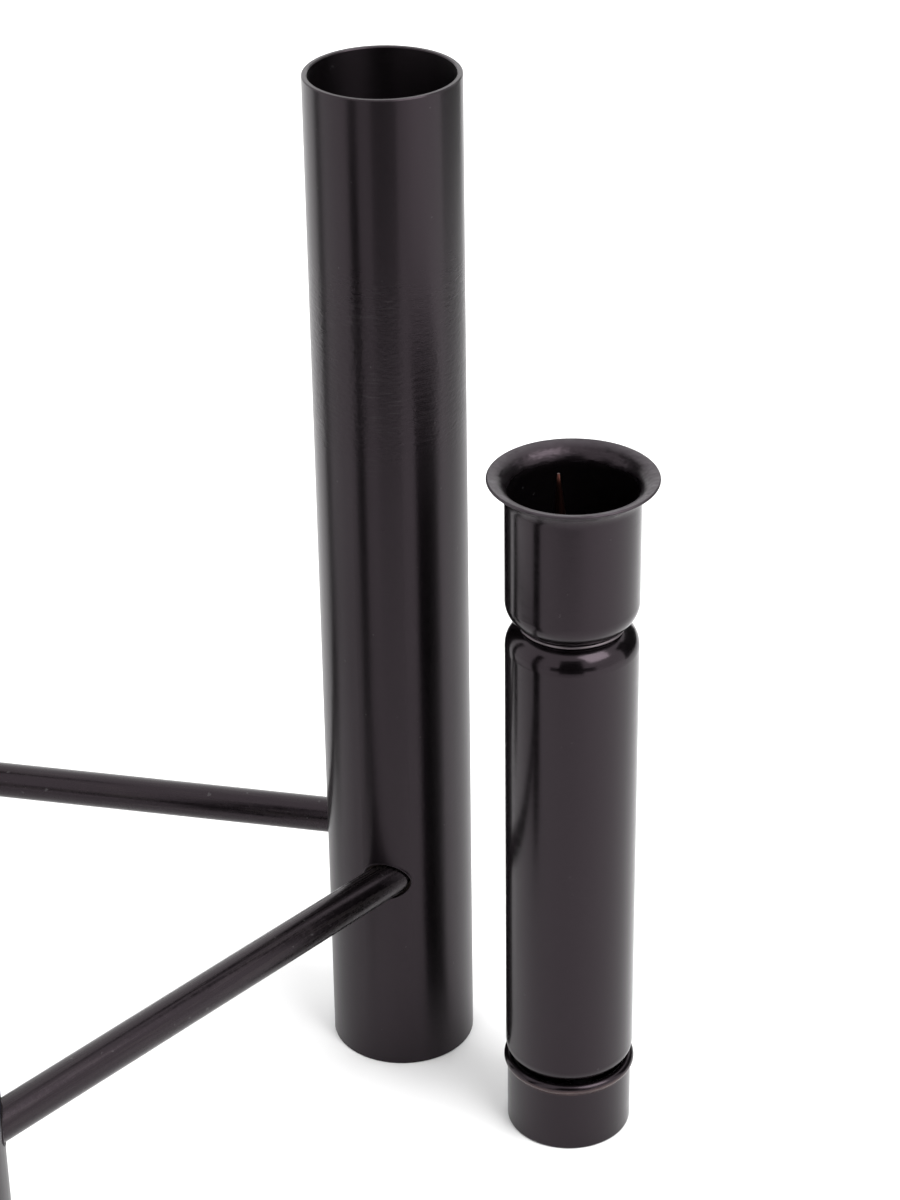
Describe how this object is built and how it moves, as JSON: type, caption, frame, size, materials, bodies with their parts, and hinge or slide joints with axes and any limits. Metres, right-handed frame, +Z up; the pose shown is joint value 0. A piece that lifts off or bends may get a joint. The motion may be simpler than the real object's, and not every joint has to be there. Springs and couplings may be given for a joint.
{
  "type": "tabletop candelabra",
  "caption": "Black tabletop candelabra of tall tubes joined in a triangle by rods, with lift-out spiked candle cups on long sleeves.",
  "frame": {"origin": "centre of tube A's foot, on the table; tube A is the one whose insert stands loose beside it", "axes": "+Z up along the tubes; +X points from the centre of the triangle of tubes to tube A"},
  "size_m": [0.1569, 0.1514, 0.2035],
  "materials": {
    "frame_lacquer": "black lacquer over brushed steel tube, satin gloss",
    "insert_lacquer": "black lacquer on drawn steel, high gloss",
    "spike_steel": "blackened and lacquered, thin on the point",
    "hardware_steel": "zinc plated",
    "braze_metal": "brazing metal under the same black lacquer",
    "plug_plastic": "fine matte grain"
  },
  "bodies": {
    "frame": {"tube_a": "frame_lacquer", "tube_b": "frame_lacquer", "tube_c": "frame_lacquer", "foot_plug_a": "plug_plastic", "foot_plug_b": "plug_plastic", "foot_plug_c": "plug_plastic", "rod_ab": "frame_lacquer", "rod_bc": "frame_lacquer", "rod_ca": "frame_lacquer", "braze_a": "braze_metal", "braze_b": "braze_metal", "braze_c": "braze_metal"},
    "insert_a": {"candle_cup_a": "insert_lacquer", "spike_a": "spike_steel", "cup_washer_a": "hardware_steel", "sleeve_a": "insert_lacquer", "tie_rod_a": "hardware_steel", "foot_spacer_a": "hardware_steel", "foot_cup_a": "insert_lacquer", "lock_nut_a": "hardware_steel"},
    "insert_b": {"candle_cup_b": "insert_lacquer", "spike_b": "spike_steel", "cup_washer_b": "hardware_steel", "sleeve_b": "insert_lacquer", "tie_rod_b": "hardware_steel", "foot_spacer_b": "hardware_steel", "foot_cup_b": "insert_lacquer", "lock_nut_b": "hardware_steel"},
    "insert_c": {"candle_cup_c": "insert_lacquer", "spike_c": "spike_steel", "cup_washer_c": "hardware_steel", "sleeve_c": "insert_lacquer", "tie_rod_c": "hardware_steel", "foot_spacer_c": "hardware_steel", "foot_cup_c": "insert_lacquer", "lock_nut_c": "hardware_steel"}
  },
  "joints": [
    {"name": "lift_insert_a", "type": "slide", "parent": "frame", "child": "insert_a", "axis": [0, 0, 1], "range_m": [0, 0.15]},
    {"name": "lift_insert_b", "type": "slide", "parent": "frame", "child": "insert_b", "axis": [0, 0, 1], "range_m": [0, 0.15]},
    {"name": "lift_insert_c", "type": "slide", "parent": "frame", "child": "insert_c", "axis": [0, 0, 1], "range_m": [0, 0.15]}
  ]
}
